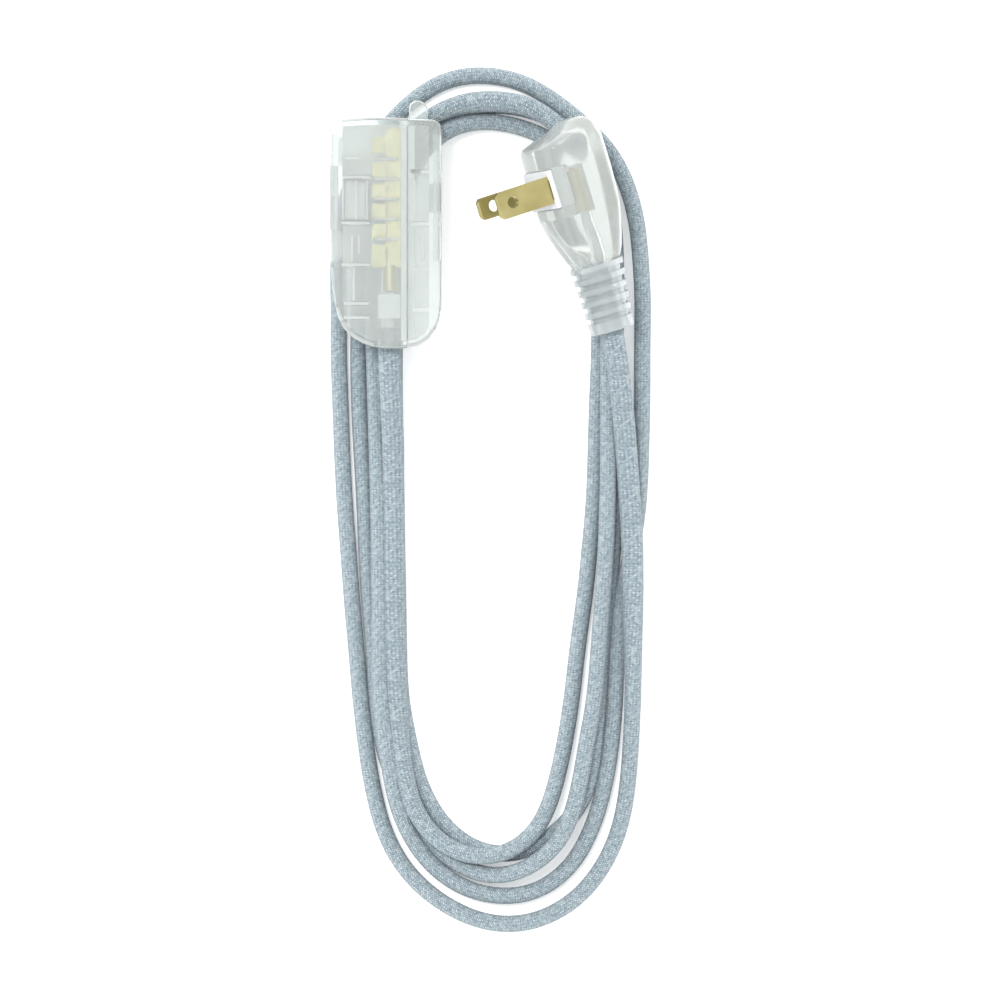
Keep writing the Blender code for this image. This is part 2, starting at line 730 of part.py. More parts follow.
def oval(front, back, half, height, power, count=32):
    """A rounded section of the body: depth runs back from the face, half is its half width."""
    middle = (front + back) / 2
    reach = (back - front) / 2
    ring = []
    for i in range(count):
        angle = 2 * math.pi * i / count
        c, s = math.cos(angle), math.sin(angle)
        x = math.copysign(abs(c) ** (2 / power), c) * reach
        z = math.copysign(abs(s) ** (2 / power), s) * half
        ring.append((-(middle + x), height, z))
    return ring


BODY_SECTIONS = (
    # height, front, back, half width and squareness
    (17.3, 14.0, 17.6, 4.4, 2.2),
    (16.7, 12.4, 18.8, 6.8, 2.5),
    (15.4, 10.4, 19.8, 8.6, 2.8),
    (14.3, 7.4, 20.3, 9.8, 3.0),
    (13.3, 3.6, 20.6, 10.5, 3.3),
    (12.4, 0.9, 20.7, 10.8, 3.6),
    (11.2, 0.0, 20.8, 11.0, 4.0),
    (0.0, 0.0, 20.8, 11.0, 4.0),
    (-8.6, 0.0, 20.3, 11.0, 4.0),
    (-13.0, 0.5, 19.7, 10.5, 3.6),
    (-17.5, 1.7, 18.9, 9.6, 3.2),
    (-21.5, 2.7, 18.2, 8.4, 2.7),
    (-24.4, 3.4, 17.4, 7.0, 2.2),
)
rings = [
    oval(front * MM, back * MM, half * MM, height * MM, power)
    for height, front, back, half, power in BODY_SECTIONS
]
pitch = (RELIEF_TOP - RELIEF_END) / RELIEF_RIBS
for rib in range(RELIEF_RIBS):
    for part, deep in ((0.0, False), (0.52, False), (0.52, True), (1.0, True)):
        if rib == RELIEF_RIBS - 1 and deep:
            continue
        if rib == RELIEF_RIBS - 1 and part:
            part = 1.0
        along = (rib + part) / RELIEF_RIBS
        height = RELIEF_TOP + along * (RELIEF_END - RELIEF_TOP)
        centre = RELIEF_TOP_DEPTH + along * (RELIEF_END_DEPTH - RELIEF_TOP_DEPTH)
        radius = RELIEF_TOP_RADIUS + along * (RELIEF_END_RADIUS - RELIEF_TOP_RADIUS)
        radius -= RELIEF_GROOVE if deep else 0.0
        rings.append(oval(centre - radius, centre + radius, radius, height, 2.0))

overmould = loft("plug_overmould", rings, PARTS, clear_mould)
shade_smooth(overmould)

bridge_pocket = boxes(
    "Bridge_pocket",
    [
        (
            (-BRIDGE_DEPTH - GAP, -BRIDGE_HALF_HEIGHT - GAP, -BRIDGE_HALF_WIDTH - GAP),
            (MM, BRIDGE_HALF_HEIGHT + GAP, BRIDGE_HALF_WIDTH + GAP),
        )
    ],
    CUTTERS,
)
combine(overmould, bridge_pocket, "DIFFERENCE")
bridge = boxes(
    "plug_blade_bridge",
    [
        (
            (-BRIDGE_DEPTH, -BRIDGE_HALF_HEIGHT, -BRIDGE_HALF_WIDTH),
            (0.0, BRIDGE_HALF_HEIGHT, BRIDGE_HALF_WIDTH),
        )
    ],
    PARTS,
    white_plastic,
)
place_on_plug(overmould, bridge, bridge_pocket)

BARREL_TOP = 3.4 * MM
BARREL_BOTTOM = -8.6 * MM
TAIL_HALF = 2.6 * MM
PLUG_JACKET_END = -25.5 * MM


def plug_side(name, side, width):
    """One blade with its crimp barrel, its wire and copper end, and the room they need."""
    middle = side * BLADE_SPACING / 2
    half = width / 2
    tip = 1.2 * MM
    outline = [
        (-BRIDGE_DEPTH - GAP, -TAIL_HALF),
        (-PLUG_CRIMP_DEPTH, -TAIL_HALF),
        (-PLUG_CRIMP_DEPTH, TAIL_HALF),
        (-BRIDGE_DEPTH - GAP, TAIL_HALF),
        (0.0, TAIL_HALF),
        (0.0, half),
        (BLADE_LENGTH - tip, half),
        (BLADE_LENGTH, half - tip),
        (BLADE_LENGTH, tip - half),
        (BLADE_LENGTH - tip, -half),
        (0.0, -half),
        (0.0, -TAIL_HALF),
    ]
    low = middle - BLADE_THICKNESS / 2
    high = middle + BLADE_THICKNESS / 2
    blade = prism(name + "_blade", outline[1:3] + outline[4:], low, high, PARTS, blade_brass)
    hole_x = BLADE_LENGTH - BLADE_HOLE_FROM_TIP
    hole = rod(
        name + "_blade_hole",
        (hole_x, 0.0, low - MM),
        (hole_x, 0.0, high + MM),
        BLADE_HOLE_RADIUS,
        CUTTERS,
        None,
        28,
    )
    barrel = rod(
        name + "_barrel",
        (-PLUG_CRIMP_DEPTH, BARREL_BOTTOM, middle),
        (-PLUG_CRIMP_DEPTH, BARREL_TOP, middle),
        CRIMP_RADIUS,
        CUTTERS,
    )
    bore = rod(
        name + "_barrel_bore",
        (-PLUG_CRIMP_DEPTH, BARREL_BOTTOM - MM, middle),
        (-PLUG_CRIMP_DEPTH, BARREL_TOP + MM, middle),
        CRIMP_BORE,
        CUTTERS,
    )
    combine(blade, hole, "DIFFERENCE")
    combine(blade, barrel, "UNION")
    combine(blade, bore, "DIFFERENCE")

    wire_end = BARREL_BOTTOM - GAP
    path = smooth_path(
        [
            (-RELIEF_TOP_DEPTH, PLUG_JACKET_END + GAP, side * 1.55 * MM),
            (-RELIEF_TOP_DEPTH, PLUG_JACKET_END + 2.0 * MM, side * 1.9 * MM),
            (-9.6 * MM, -17.6 * MM, side * 4.1 * MM),
            (-PLUG_CRIMP_DEPTH, wire_end - 3.0 * MM, side * 5.95 * MM),
            (-PLUG_CRIMP_DEPTH, wire_end, middle),
        ],
        16,
    )
    wire = tube(name + "_wire", path, WIRE_RADIUS, PARTS, white_plastic, 2)
    shade_smooth(wire)
    strands = rod(
        name + "_strands",
        (-PLUG_CRIMP_DEPTH, wire_end + GAP, middle),
        (-PLUG_CRIMP_DEPTH, BARREL_TOP + 0.9 * MM, middle),
        STRAND_RADIUS,
        PARTS,
        copper,
        16,
    )
    shade_smooth(strands)

    bridge_slot = boxes(
        name + "_bridge_slot",
        [
            (
                (-BRIDGE_DEPTH - MM, -TAIL_HALF - GAP, low - GAP),
                (MM, TAIL_HALF + GAP, high + GAP),
            )
        ],
        CUTTERS,
    )
    combine(bridge, bridge_slot, "DIFFERENCE")
    reach = CRIMP_RADIUS + GAP
    chamber = boxes(
        name + "_chamber",
        [
            (
                (-PLUG_CRIMP_DEPTH - reach, BARREL_BOTTOM - GAP, middle - reach),
                (-BRIDGE_DEPTH + MM, BARREL_TOP + 1.4 * MM, middle + reach),
            )
        ],
        CUTTERS,
    )
    tunnel = tube(
        name + "_tunnel",
        [path[0] - Vector((0.0, MM, 0.0)), *path[1:-1], path[-1] + Vector((0.0, MM, 0.0))],
        WIRE_RADIUS + GAP,
        CUTTERS,
        None,
        2,
    )
    combine(overmould, chamber, "DIFFERENCE")
    combine(overmould, tunnel, "DIFFERENCE")
    place_on_plug(blade, hole, barrel, bore, wire, strands, bridge_slot, chamber, tunnel)


plug_side("plug_neutral", -1, NEUTRAL_BLADE_WIDTH)
plug_side("plug_hot", 1, HOT_BLADE_WIDTH)

cord_bore = rod(
    "Cord_bore",
    (-RELIEF_END_DEPTH, RELIEF_END - MM, 0.0),
    (-RELIEF_TOP_DEPTH, PLUG_JACKET_END + 2 * GAP, 0.0),
    CORD_DIAMETER / 2 + GAP,
    CUTTERS,
)
place_on_plug(cord_bore)
combine(overmould, cord_bore, "DIFFERENCE")


# ---- The two loose stretches of cord between the hank and each end ----

hank_room = boxes(
    "Hank_room",
    [((-80 * MM, -300 * MM, -40 * MM), (140 * MM, 100 * MM, HANK_HEIGHT + GAP))],
    CUTTERS,
)
receptacle_lead = tube(
    "cord_lead_receptacle",
    smooth_path(
        [
            (1.0 * MM, JACKET_END, BLOCK_MIDDLE),
            (1.0 * MM, -31.5 * MM, BLOCK_MIDDLE),
            (1.0 * MM, -35.5 * MM, BLOCK_MIDDLE - 0.1 * MM),
            (1.2 * MM, -41.0 * MM, 22.3 * MM),
            (1.5 * MM, -48.0 * MM, 18.6 * MM),
            (1.8 * MM, -55.0 * MM, 14.0 * MM),
            (2.1 * MM, -61.0 * MM, 10.3 * MM),
            (2.3 * MM, -66.0 * MM, 7.6 * MM),
        ],
        34,
    ),
    CORD_DIAMETER / 2,
    PARTS,
    cord_fabric,
)
shade_smooth(receptacle_lead)
combine(receptacle_lead, hank_room, "DIFFERENCE")

relief_exit = PLUG_PLACE @ Vector((-RELIEF_END_DEPTH, RELIEF_END, 0.0))
relief_start = PLUG_PLACE @ Vector((-RELIEF_TOP_DEPTH, PLUG_JACKET_END, 0.0))
along_relief = (relief_exit - relief_start).normalized()
plug_lead = tube(
    "cord_lead_plug",
    smooth_path(
        [
            relief_start,
            relief_start + (relief_exit - relief_start) / 2,
            relief_exit,
            relief_exit + along_relief * 4.0 * MM,
            (66.4 * MM, -39.5 * MM, 21.2 * MM),
            (67.4 * MM, -47.0 * MM, 17.2 * MM),
            (68.3 * MM, -54.5 * MM, 12.6 * MM),
            (69.0 * MM, -60.5 * MM, 9.6 * MM),
            (69.4 * MM, -66.0 * MM, 7.6 * MM),
        ],
        38,
    ),
    CORD_DIAMETER / 2,
    PARTS,
    cord_fabric,
)
shade_smooth(plug_lead)
combine(plug_lead, hank_room, "DIFFERENCE")
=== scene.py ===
"""Two-wire extension cord: clear receptacle block, woven cord wound in a long hank, clear plug."""

import math

import bmesh
import bpy
import numpy as np
from mathutils import Matrix, Vector


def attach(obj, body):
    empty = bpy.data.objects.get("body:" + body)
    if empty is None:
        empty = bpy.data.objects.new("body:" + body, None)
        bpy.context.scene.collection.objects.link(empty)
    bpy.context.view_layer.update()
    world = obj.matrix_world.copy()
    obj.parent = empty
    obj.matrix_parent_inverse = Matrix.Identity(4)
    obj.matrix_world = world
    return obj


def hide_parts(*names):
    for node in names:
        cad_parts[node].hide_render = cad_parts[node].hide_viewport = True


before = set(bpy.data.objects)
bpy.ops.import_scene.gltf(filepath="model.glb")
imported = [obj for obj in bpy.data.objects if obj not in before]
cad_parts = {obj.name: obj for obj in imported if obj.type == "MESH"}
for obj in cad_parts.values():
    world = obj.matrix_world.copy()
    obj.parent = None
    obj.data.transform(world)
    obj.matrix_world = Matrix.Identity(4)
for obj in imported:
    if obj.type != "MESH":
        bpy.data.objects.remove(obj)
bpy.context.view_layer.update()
BODY = "cord_set"


# ---- Camera ----
# A long lens straight above the hank, square to the floor, so that nothing leans.
# It takes in the whole hank with a margin all round, at the height of the upper strands.

CAMERA_HEIGHT = 5.0
LEVEL_IN_FOCUS = 0.018
WIDTH_IN_VIEW = 0.2857
SENSOR_WIDTH = 36.0

camera = bpy.data.objects.new("Overhead_camera", bpy.data.cameras.new("Overhead_camera"))
camera.location = (0.03257, -0.07657, CAMERA_HEIGHT)
camera.data.sensor_width = SENSOR_WIDTH
camera.data.lens = SENSOR_WIDTH * (CAMERA_HEIGHT - LEVEL_IN_FOCUS) / WIDTH_IN_VIEW
camera.data.clip_end = 10.0
bpy.context.scene.collection.objects.link(camera)
bpy.context.scene.camera = camera
bpy.context.scene.view_settings.view_transform = "Standard"


# ---- Cord ----
# Two insulated cores side by side under a braided cotton-and-polyester sleeve, slate grey-blue.
# It is slightly flat, and lies on edge in the hank and on its flat near both ends. It runs into
# the block at one end and is moulded into the plug at the other.

MM = 0.001
CORD_WIDTH = 6.3 * MM
CORD_THICKNESS = 4.75 * MM
CORD_STEP = 2.5 * MM
SMOOTHING_PASSES = 6

# Each point is x, y, z in millimetres and how flat the cord lies, from 0 on edge to 1.
ROUTE = (
    # out of the block, down the left side, round the bottom, up the right and over the top
    (1.0, -27.4, 23.8, 1), (1.0, -30.9, 23.8, 1), (1.0, -34.9, 23.7, 1), (1.2, -41.1, 22.3, 1),
    (1.5, -48.0, 18.6, 1), (1.8, -55.0, 14.0, 1), (2.1, -61.0, 10.9, 1), (2.0, -68.0, 9.6, 0.99),
    (2.2, -76.6, 9.1, 0.96), (2.2, -90.9, 8.9, 0.91), (2.2, -105.1, 8.8, 0.85),
    (2.5, -119.4, 8.7, 0.79), (3.0, -133.7, 8.6, 0.7), (3.9, -145.7, 8.5, 0.59),
    (5.0, -154.3, 8.4, 0.51), (6.8, -162.3, 8.3, 0.41), (9.8, -168.6, 8.3, 0.33),
    (14.2, -173.6, 8.4, 0.23), (19.7, -177.3, 8.5, 0.14), (25.4, -178.9, 8.7, 0),
    (30.6, -178.8, 8.7, 0), (36.2, -176.9, 8.5, 0), (40.9, -173.6, 8.0, 0), (44.6, -168.8, 7.0, 0),
    (47.3, -162.3, 5.8, 0), (49.4, -154.3, 4.6, 0), (51.2, -145.7, 3.7, 0), (53.1, -133.7, 3.3, 0),
    (54.9, -118.0, 3.2, 0), (57.1, -102.3, 3.2, 0), (58.2, -90.9, 3.2, 0), (59.5, -76.6, 3.2, 0),
    (60.0, -62.3, 3.2, 0), (60.4, -48.0, 3.2, 0), (61.0, -33.7, 3.2, 0), (60.7, -19.4, 3.2, 0),
    (60.4, -5.1, 3.2, 0), (59.1, 7.7, 3.2, 0), (57.0, 14.9, 3.2, 0), (54.3, 20.3, 3.2, 0),
    (50.8, 24.3, 3.2, 0), (46.5, 27.1, 3.2, 0), (41.3, 29.5, 3.2, 0), (35.5, 31.1, 3.2, 0),
    (29.7, 32.1, 3.6, 0), (23.0, 31.5, 5.4, 0), (16.8, 29.1, 7.8, 0), (11.6, 24.7, 8.9, 0),
    (8.0, 19.1, 8.9, 0), (5.8, 13.9, 8.0, 0), (5.0, 3.4, 5.2, 0), (3.4, -8.0, 3.4, 0),
    (2.7, -19.4, 3.2, 0),
    # down again under the first run, round and up
    (2.4, -33.7, 3.2, 0), (2.4, -48.0, 3.2, 0), (2.7, -62.3, 3.2, 0), (2.9, -76.6, 3.2, 0),
    (3.1, -90.9, 3.2, 0), (3.4, -105.1, 3.2, 0), (3.6, -119.4, 3.2, 0), (4.2, -133.7, 3.2, 0),
    (6.5, -145.7, 3.2, 0), (8.6, -155.1, 3.2, 0), (11.5, -162.3, 3.2, 0), (14.7, -167.6, 3.2, 0),
    (18.2, -171.7, 3.2, 0), (22.5, -175.1, 3.2, 0), (27.4, -177.3, 3.2, 0), (32.6, -178.4, 3.2, 0),
    (38.0, -177.9, 3.2, 0), (43.4, -175.6, 3.2, 0), (48.6, -171.9, 3.2, 0), (53.8, -166.7, 3.2, 0),
    (57.3, -160.9, 3.2, 0), (59.0, -153.7, 3.2, 0), (59.9, -145.7, 3.2, 0), (60.9, -133.7, 3.2, 0),
    (61.8, -119.4, 3.2, 0), (63.3, -105.1, 3.2, 0), (65.0, -90.9, 3.2, 0), (65.4, -76.6, 3.2, 0),
    (65.4, -62.3, 3.2, 0), (65.3, -48.0, 3.2, 0), (65.6, -33.7, 3.2, 0), (65.9, -19.4, 3.2, 0),
    (65.7, -5.1, 3.2, 0), (64.6, 7.7, 3.2, 0), (62.6, 16.0, 3.2, 0), (59.4, 22.3, 3.2, 0),
    (55.4, 27.1, 3.2, 0), (50.3, 31.3, 3.2, 0), (44.0, 34.4, 3.2, 0), (38.3, 36.0, 3.2, 0),
    (32.6, 36.7, 3.2, 0), (27.4, 36.4, 3.2, 0), (22.3, 35.1, 3.2, 0), (18.0, 32.9, 3.2, 0),
    (14.0, 29.7, 3.2, 0), (10.0, 25.7, 3.2, 0), (5.4, 20.6, 3.2, 0), (0.6, 13.7, 3.2, 0),
    (-3.7, 5.1, 3.2, 0), (-6.4, -5.1, 3.2, 0), (-7.6, -19.4, 3.2, 0),
    # third run, out from below at the bottom and on top up the right side
    (-8.0, -33.7, 3.2, 0), (-7.8, -48.0, 3.2, 0), (-7.1, -62.3, 3.2, 0), (-6.3, -76.6, 3.2, 0),
    (-5.7, -90.9, 3.2, 0), (-4.9, -105.1, 3.2, 0), (-3.7, -119.4, 3.2, 0), (-2.8, -133.7, 3.2, 0),
    (-1.3, -145.7, 3.2, 0), (1.2, -154.3, 3.2, 0), (4.3, -162.3, 3.2, 0), (7.9, -168.9, 3.2, 0),
    (12.3, -174.4, 3.2, 0), (16.9, -178.6, 3.3, 0), (21.7, -181.9, 3.8, 0), (26.9, -183.9, 4.8, 0),
    (32.6, -184.5, 6.4, 0), (38.4, -183.0, 8.0, 0), (44.2, -179.7, 8.9, 0), (48.6, -175.6, 9.0, 0),
    (51.9, -170.1, 9.0, 0), (54.1, -163.4, 9.0, 0), (56.0, -154.6, 9.0, 0), (57.4, -145.7, 9.0, 0),
    (59.6, -133.7, 9.0, 0), (60.9, -118.0, 9.0, 0), (62.1, -102.3, 9.0, 0), (62.9, -90.9, 9.0, 0),
    (63.4, -76.6, 9.0, 0), (63.6, -62.3, 9.0, 0), (63.6, -48.0, 9.0, 0), (63.6, -33.7, 8.9, 0),
    (63.6, -19.4, 8.9, 0), (63.1, -5.1, 8.9, 0), (61.7, 6.9, 8.9, 0), (59.4, 14.9, 8.9, 0),
    (56.3, 21.3, 8.9, 0), (52.6, 26.6, 8.9, 0), (48.6, 31.6, 8.9, 0.2), (44.0, 34.9, 8.9, 0.4),
    (38.3, 36.9, 8.9, 0.6), (32.6, 37.6, 8.9, 0.7), (26.9, 37.7, 8.9, 0.7), (21.7, 37.0, 8.9, 0.6),
    (16.9, 35.4, 8.9, 0.4), (12.6, 33.3, 8.9, 0.2), (8.6, 30.3, 8.9, 0), (4.9, 25.7, 8.9, 0),
    (1.4, 18.9, 8.9, 0), (-1.1, 9.1, 8.8, 0), (-3.0, -3.7, 8.5, 0), (-4.1, -19.4, 8.2, 0),
    # fourth run, beneath the last one on the right, and the widest arc at the top
    (-3.5, -33.7, 8.0, 0), (-3.1, -48.0, 7.8, 0), (-2.7, -62.3, 7.7, 0), (-2.3, -76.6, 7.7, 0),
    (-2.1, -90.9, 7.8, 0), (-1.9, -105.1, 8.1, 0), (-1.9, -119.4, 8.5, 0), (-1.6, -133.7, 8.8, 0),
    (-0.1, -145.7, 8.9, 0), (1.1, -154.3, 8.6, 0), (2.6, -162.3, 7.8, 0), (4.9, -168.9, 6.6, 0),
    (8.2, -175.1, 5.3, 0), (12.3, -180.6, 4.2, 0), (17.1, -184.7, 3.5, 0), (22.6, -187.9, 3.2, 0),
    (28.3, -189.7, 3.2, 0), (34.0, -190.3, 3.2, 0), (39.8, -189.8, 3.2, 0), (45.7, -187.5, 3.2, 0),
    (50.8, -183.6, 3.2, 0), (54.9, -178.9, 3.2, 0), (57.9, -172.9, 3.2, 0), (60.5, -166.5, 3.2, 0),
    (62.3, -159.3, 3.2, 0), (63.7, -152.3, 3.2, 0), (64.6, -145.1, 3.2, 0), (65.6, -133.7, 3.2, 0),
    (66.1, -119.4, 3.2, 0), (67.5, -105.1, 3.2, 0), (70.0, -92.3, 3.2, 0), (71.9, -80.9, 3.2, 0),
    (72.7, -70.9, 3.2, 0), (73.0, -60.9, 3.2, 0), (73.3, -48.0, 3.2, 0), (73.3, -33.7, 3.2, 0),
    (73.5, -19.4, 3.2, 0), (72.9, -8.6, 3.2, 0), (72.1, 1.2, 3.2, 0), (70.4, 9.3, 3.2, 0),
    (67.8, 16.7, 3.2, 0), (64.5, 22.7, 3.2, 0), (60.1, 27.8, 3.2, 0), (54.8, 32.6, 3.2, 0.1),
    (49.6, 36.7, 3.2, 0.1), (44.2, 40.5, 3.2, 0.1), (38.6, 43.3, 3.2, 0.1), (32.8, 44.8, 3.2, 0.1),
    (26.9, 45.3, 3.2, 0.1), (21.0, 44.9, 3.2, 0.1), (15.5, 43.2, 3.2, 0.1), (10.2, 40.1, 3.2, 0.1),
    (5.6, 36.1, 3.2, 0.1), (1.2, 31.7, 3.2, 0), (-3.2, 26.5, 3.2, 0), (-7.4, 19.7, 3.2, 0),
    (-10.9, 11.4, 3.2, 0), (-13.1, 1.1, 3.2, 0), (-13.9, -9.4, 3.2, 0), (-13.6, -20.9, 3.2, 0),
    # last run, the widest at the bottom, then up to the plug
    (-13.7, -33.7, 3.2, 0), (-13.2, -48.0, 3.2, 0), (-12.7, -62.3, 3.2, 0), (-12.0, -76.6, 3.2, 0),
    (-10.9, -90.9, 3.2, 0), (-9.9, -105.1, 3.2, 0), (-8.6, -119.4, 3.2, 0), (-7.4, -133.7, 3.2, 0),
    (-6.0, -145.7, 3.2, 0), (-4.8, -154.3, 3.2, 0), (-3.2, -162.3, 3.2, 0), (-1.1, -170.4, 3.2, 0),
    (2.2, -177.6, 3.2, 0), (6.4, -183.8, 3.2, 0), (11.5, -188.7, 3.2, 0), (17.0, -192.7, 3.2, 0),
    (23.1, -195.8, 3.2, 0), (29.2, -197.8, 3.2, 0), (35.4, -198.3, 3.2, 0), (41.7, -197.6, 3.2, 0),
    (47.7, -195.2, 3.2, 0), (53.6, -191.6, 3.2, 0), (58.5, -186.7, 3.2, 0), (62.7, -180.6, 3.2, 0),
    (65.8, -174.0, 3.2, 0), (67.9, -166.7, 3.3, 0), (69.0, -159.4, 3.5, 0), (69.7, -152.3, 3.9, 0),
    (70.1, -145.1, 4.6, 0), (70.6, -133.7, 6.2, 0.1), (70.7, -119.4, 8.0, 0.35),
    (70.6, -105.1, 9.0, 0.7), (70.5, -93.7, 9.2, 0.95), (70.1, -82.3, 9.2, 1),
    (69.4, -72.3, 9.6, 1), (68.8, -63.7, 10.4, 1), (68.3, -57.1, 12.2, 1), (67.7, -50.9, 15.2, 1),
    (67.1, -44.6, 18.7, 1), (66.3, -38.3, 21.7, 1), (65.4, -32.6, 23.3, 1), (64.7, -28.1, 23.9, 1),
    (63.4, -23.4, 24.5, 1), (62.0, -18.4, 25.3, 1), (60.5, -12.3, 26.0, 1),
)


def smooth_route(points, step):
    """Evenly spaced rows of the same columns, on one smooth curve through the points."""
    knots = np.array(points)
    padded = np.vstack([2 * knots[0] - knots[1], knots, 2 * knots[-1] - knots[-2]])
    rows = []
    for a, b, c, d in zip(padded, padded[1:], padded[2:], padded[3:]):
        for t in np.arange(0.0, 1.0, 0.1):
            cubic = (3 * b - 3 * c + d - a) * t**3 + (2 * a - 5 * b + 4 * c - d) * t**2
            rows.append(0.5 * (2 * b + (c - a) * t + cubic))
    rows.append(knots[-1])
    rows = np.array(rows)
    run = np.concatenate([[0.0], np.cumsum(np.linalg.norm(np.diff(rows[:, :3], axis=0), axis=1))])
    even = np.linspace(0.0, run[-1], round(run[-1] / step) + 1)
    rows = np.stack([np.interp(even, run, column) for column in rows.T], axis=1)
    for _ in range(SMOOTHING_PASSES):
        rows[1:-1] = (rows[:-2] + 2 * rows[1:-1] + rows[2:]) / 4
    return rows


def linear(code):
    """An sRGB hex colour as linear RGBA."""
    channels = [int(code[i : i + 2], 16) / 255 for i in (1, 3, 5)]
    curve = [c / 12.92 if c <= 0.04045 else ((c + 0.055) / 1.055) ** 2.4 for c in channels]
    return (*curve, 1.0)


def add_node(tree, kind, inputs=None, **settings):
    """Adds a node, sets its properties, and fills its inputs with values or other sockets."""
    made = tree.nodes.new(kind)
    for name, value in settings.items():
        setattr(made, name, value)
    for key, value in (inputs or {}).items():
        if isinstance(value, bpy.types.NodeSocket):
            tree.links.new(value, made.inputs[key])
        else:
            made.inputs[key].default_value = value
    return made


def start_material(name):
    """A new material with its tree and its shader node."""
    made = bpy.data.materials.new(name)
    made.use_nodes = True
    return made, made.node_tree, made.node_tree.nodes["Principled BSDF"]


def cord_sleeve():
    """Braided sleeve: two sets of yarns that wind opposite ways and pass over and under.

    The yarns lie well across the cord, about 0.7 mm apart along it.
    """
    made, tree, shader = start_material("Braided_cotton_polyester_sleeve")
    carriers = 16.0
    crossings_per_metre = 1400.0
    uv = add_node(tree, "ShaderNodeUVMap", uv_map="UVMap")
    split = add_node(tree, "ShaderNodeSeparateXYZ", {"Vector": uv.outputs["UV"]})

    def math_node(operation, first, second=0.0):
        step = add_node(tree, "ShaderNodeMath", {0: first, 1: second}, operation=operation)
        return step.outputs[0]

    around = math_node("MULTIPLY", split.outputs["X"], carriers)
    along = math_node("MULTIPLY", split.outputs["Y"], crossings_per_metre)
    rising = math_node("ADD", around, along)
    falling = math_node("SUBTRACT", around, along)
    over = math_node(
        "MODULO",
        math_node("ADD", math_node("FLOOR", rising), math_node("FLOOR", falling)),
        2.0,
    )
    over = math_node("ABSOLUTE", over)
    rise_round = math_node("SINE", math_node("MULTIPLY", math_node("FRACT", rising), math.pi))
    fall_round = math_node("SINE", math_node("MULTIPLY", math_node("FRACT", falling), math.pi))
    height = add_node(
        tree,
        "ShaderNodeMix",
        {"Factor": over, "A": rise_round, "B": fall_round},
        data_type="FLOAT",
    ).outputs["Result"]

    # Each yarn crossing has its own tone, from near white cotton to slate.
    cell = add_node(
        tree,
        "ShaderNodeCombineXYZ",
        {
            "X": math_node("FLOORED_MODULO", math_node("FLOOR", rising), carriers),
            "Y": math_node("FLOORED_MODULO", math_node("FLOOR", falling), carriers),
            "Z": over,
        },
    )
    tone = add_node(tree, "ShaderNodeTexWhiteNoise", {"Vector": cell.outputs[0]})
    place = add_node(tree, "ShaderNodeTexCoord")
    patches = add_node(
        tree,
        "ShaderNodeTexNoise",
        {"Vector": place.outputs["Object"], "Scale": 900.0, "Detail": 2.0, "Roughness": 0.5},
    )
    # One set of yarns is spun a little paler than the other.
    mixed = math_node(
        "ADD",
        math_node("MULTIPLY", tone.outputs["Value"], 0.38),
        math_node("MULTIPLY", patches.outputs["Fac"], 0.4),
    )
    mixed = math_node("ADD", mixed, math_node("MULTIPLY", over, 0.16))
    shade = add_node(tree, "ShaderNodeValToRGB", {"Fac": mixed})
    ramp = shade.color_ramp
    ramp.elements[0].position = 0.2
    ramp.elements[0].color = linear("#7F919C")
    ramp.elements[1].position = 0.75
    ramp.elements[1].color = linear("#C8D4D9")
    middle = ramp.elements.new(0.48)
    middle.color = linear("#A5B5BD")
    # Painted shade: the colour is darkened towards the edges of each yarn, where the crevices
    # between yarns fall into shade, and lifted a little on the crowns as a faint painted
    # highlight.
    painted_crevice_shade = add_node(
        tree,
        "ShaderNodeMapRange",
        {"Value": height, "From Min": 0.0, "From Max": 0.7, "To Min": 0.38, "To Max": 1.04},
    )
    colour = add_node(
        tree,
        "ShaderNodeMix",
        {"Factor": 1.0, "A": shade.outputs["Color"], "B": painted_crevice_shade.outputs["Result"]},
        data_type="RGBA",
        blend_type="MULTIPLY",
    )
    tree.links.new(colour.outputs["Result"], shader.inputs["Base Color"])
    bump = add_node(
        tree,
        "ShaderNodeBump",
        {"Height": height, "Strength": 0.8, "Distance": 0.35 * MM},
    )
    tree.links.new(bump.outputs["Normal"], shader.inputs["Normal"])
    shader.inputs["Roughness"].default_value = 0.82
    shader.inputs["Sheen Weight"].default_value = 0.25
    shader.inputs["Sheen Roughness"].default_value = 0.5
    shader.inputs["Specular IOR Level"].default_value = 0.25
    return made


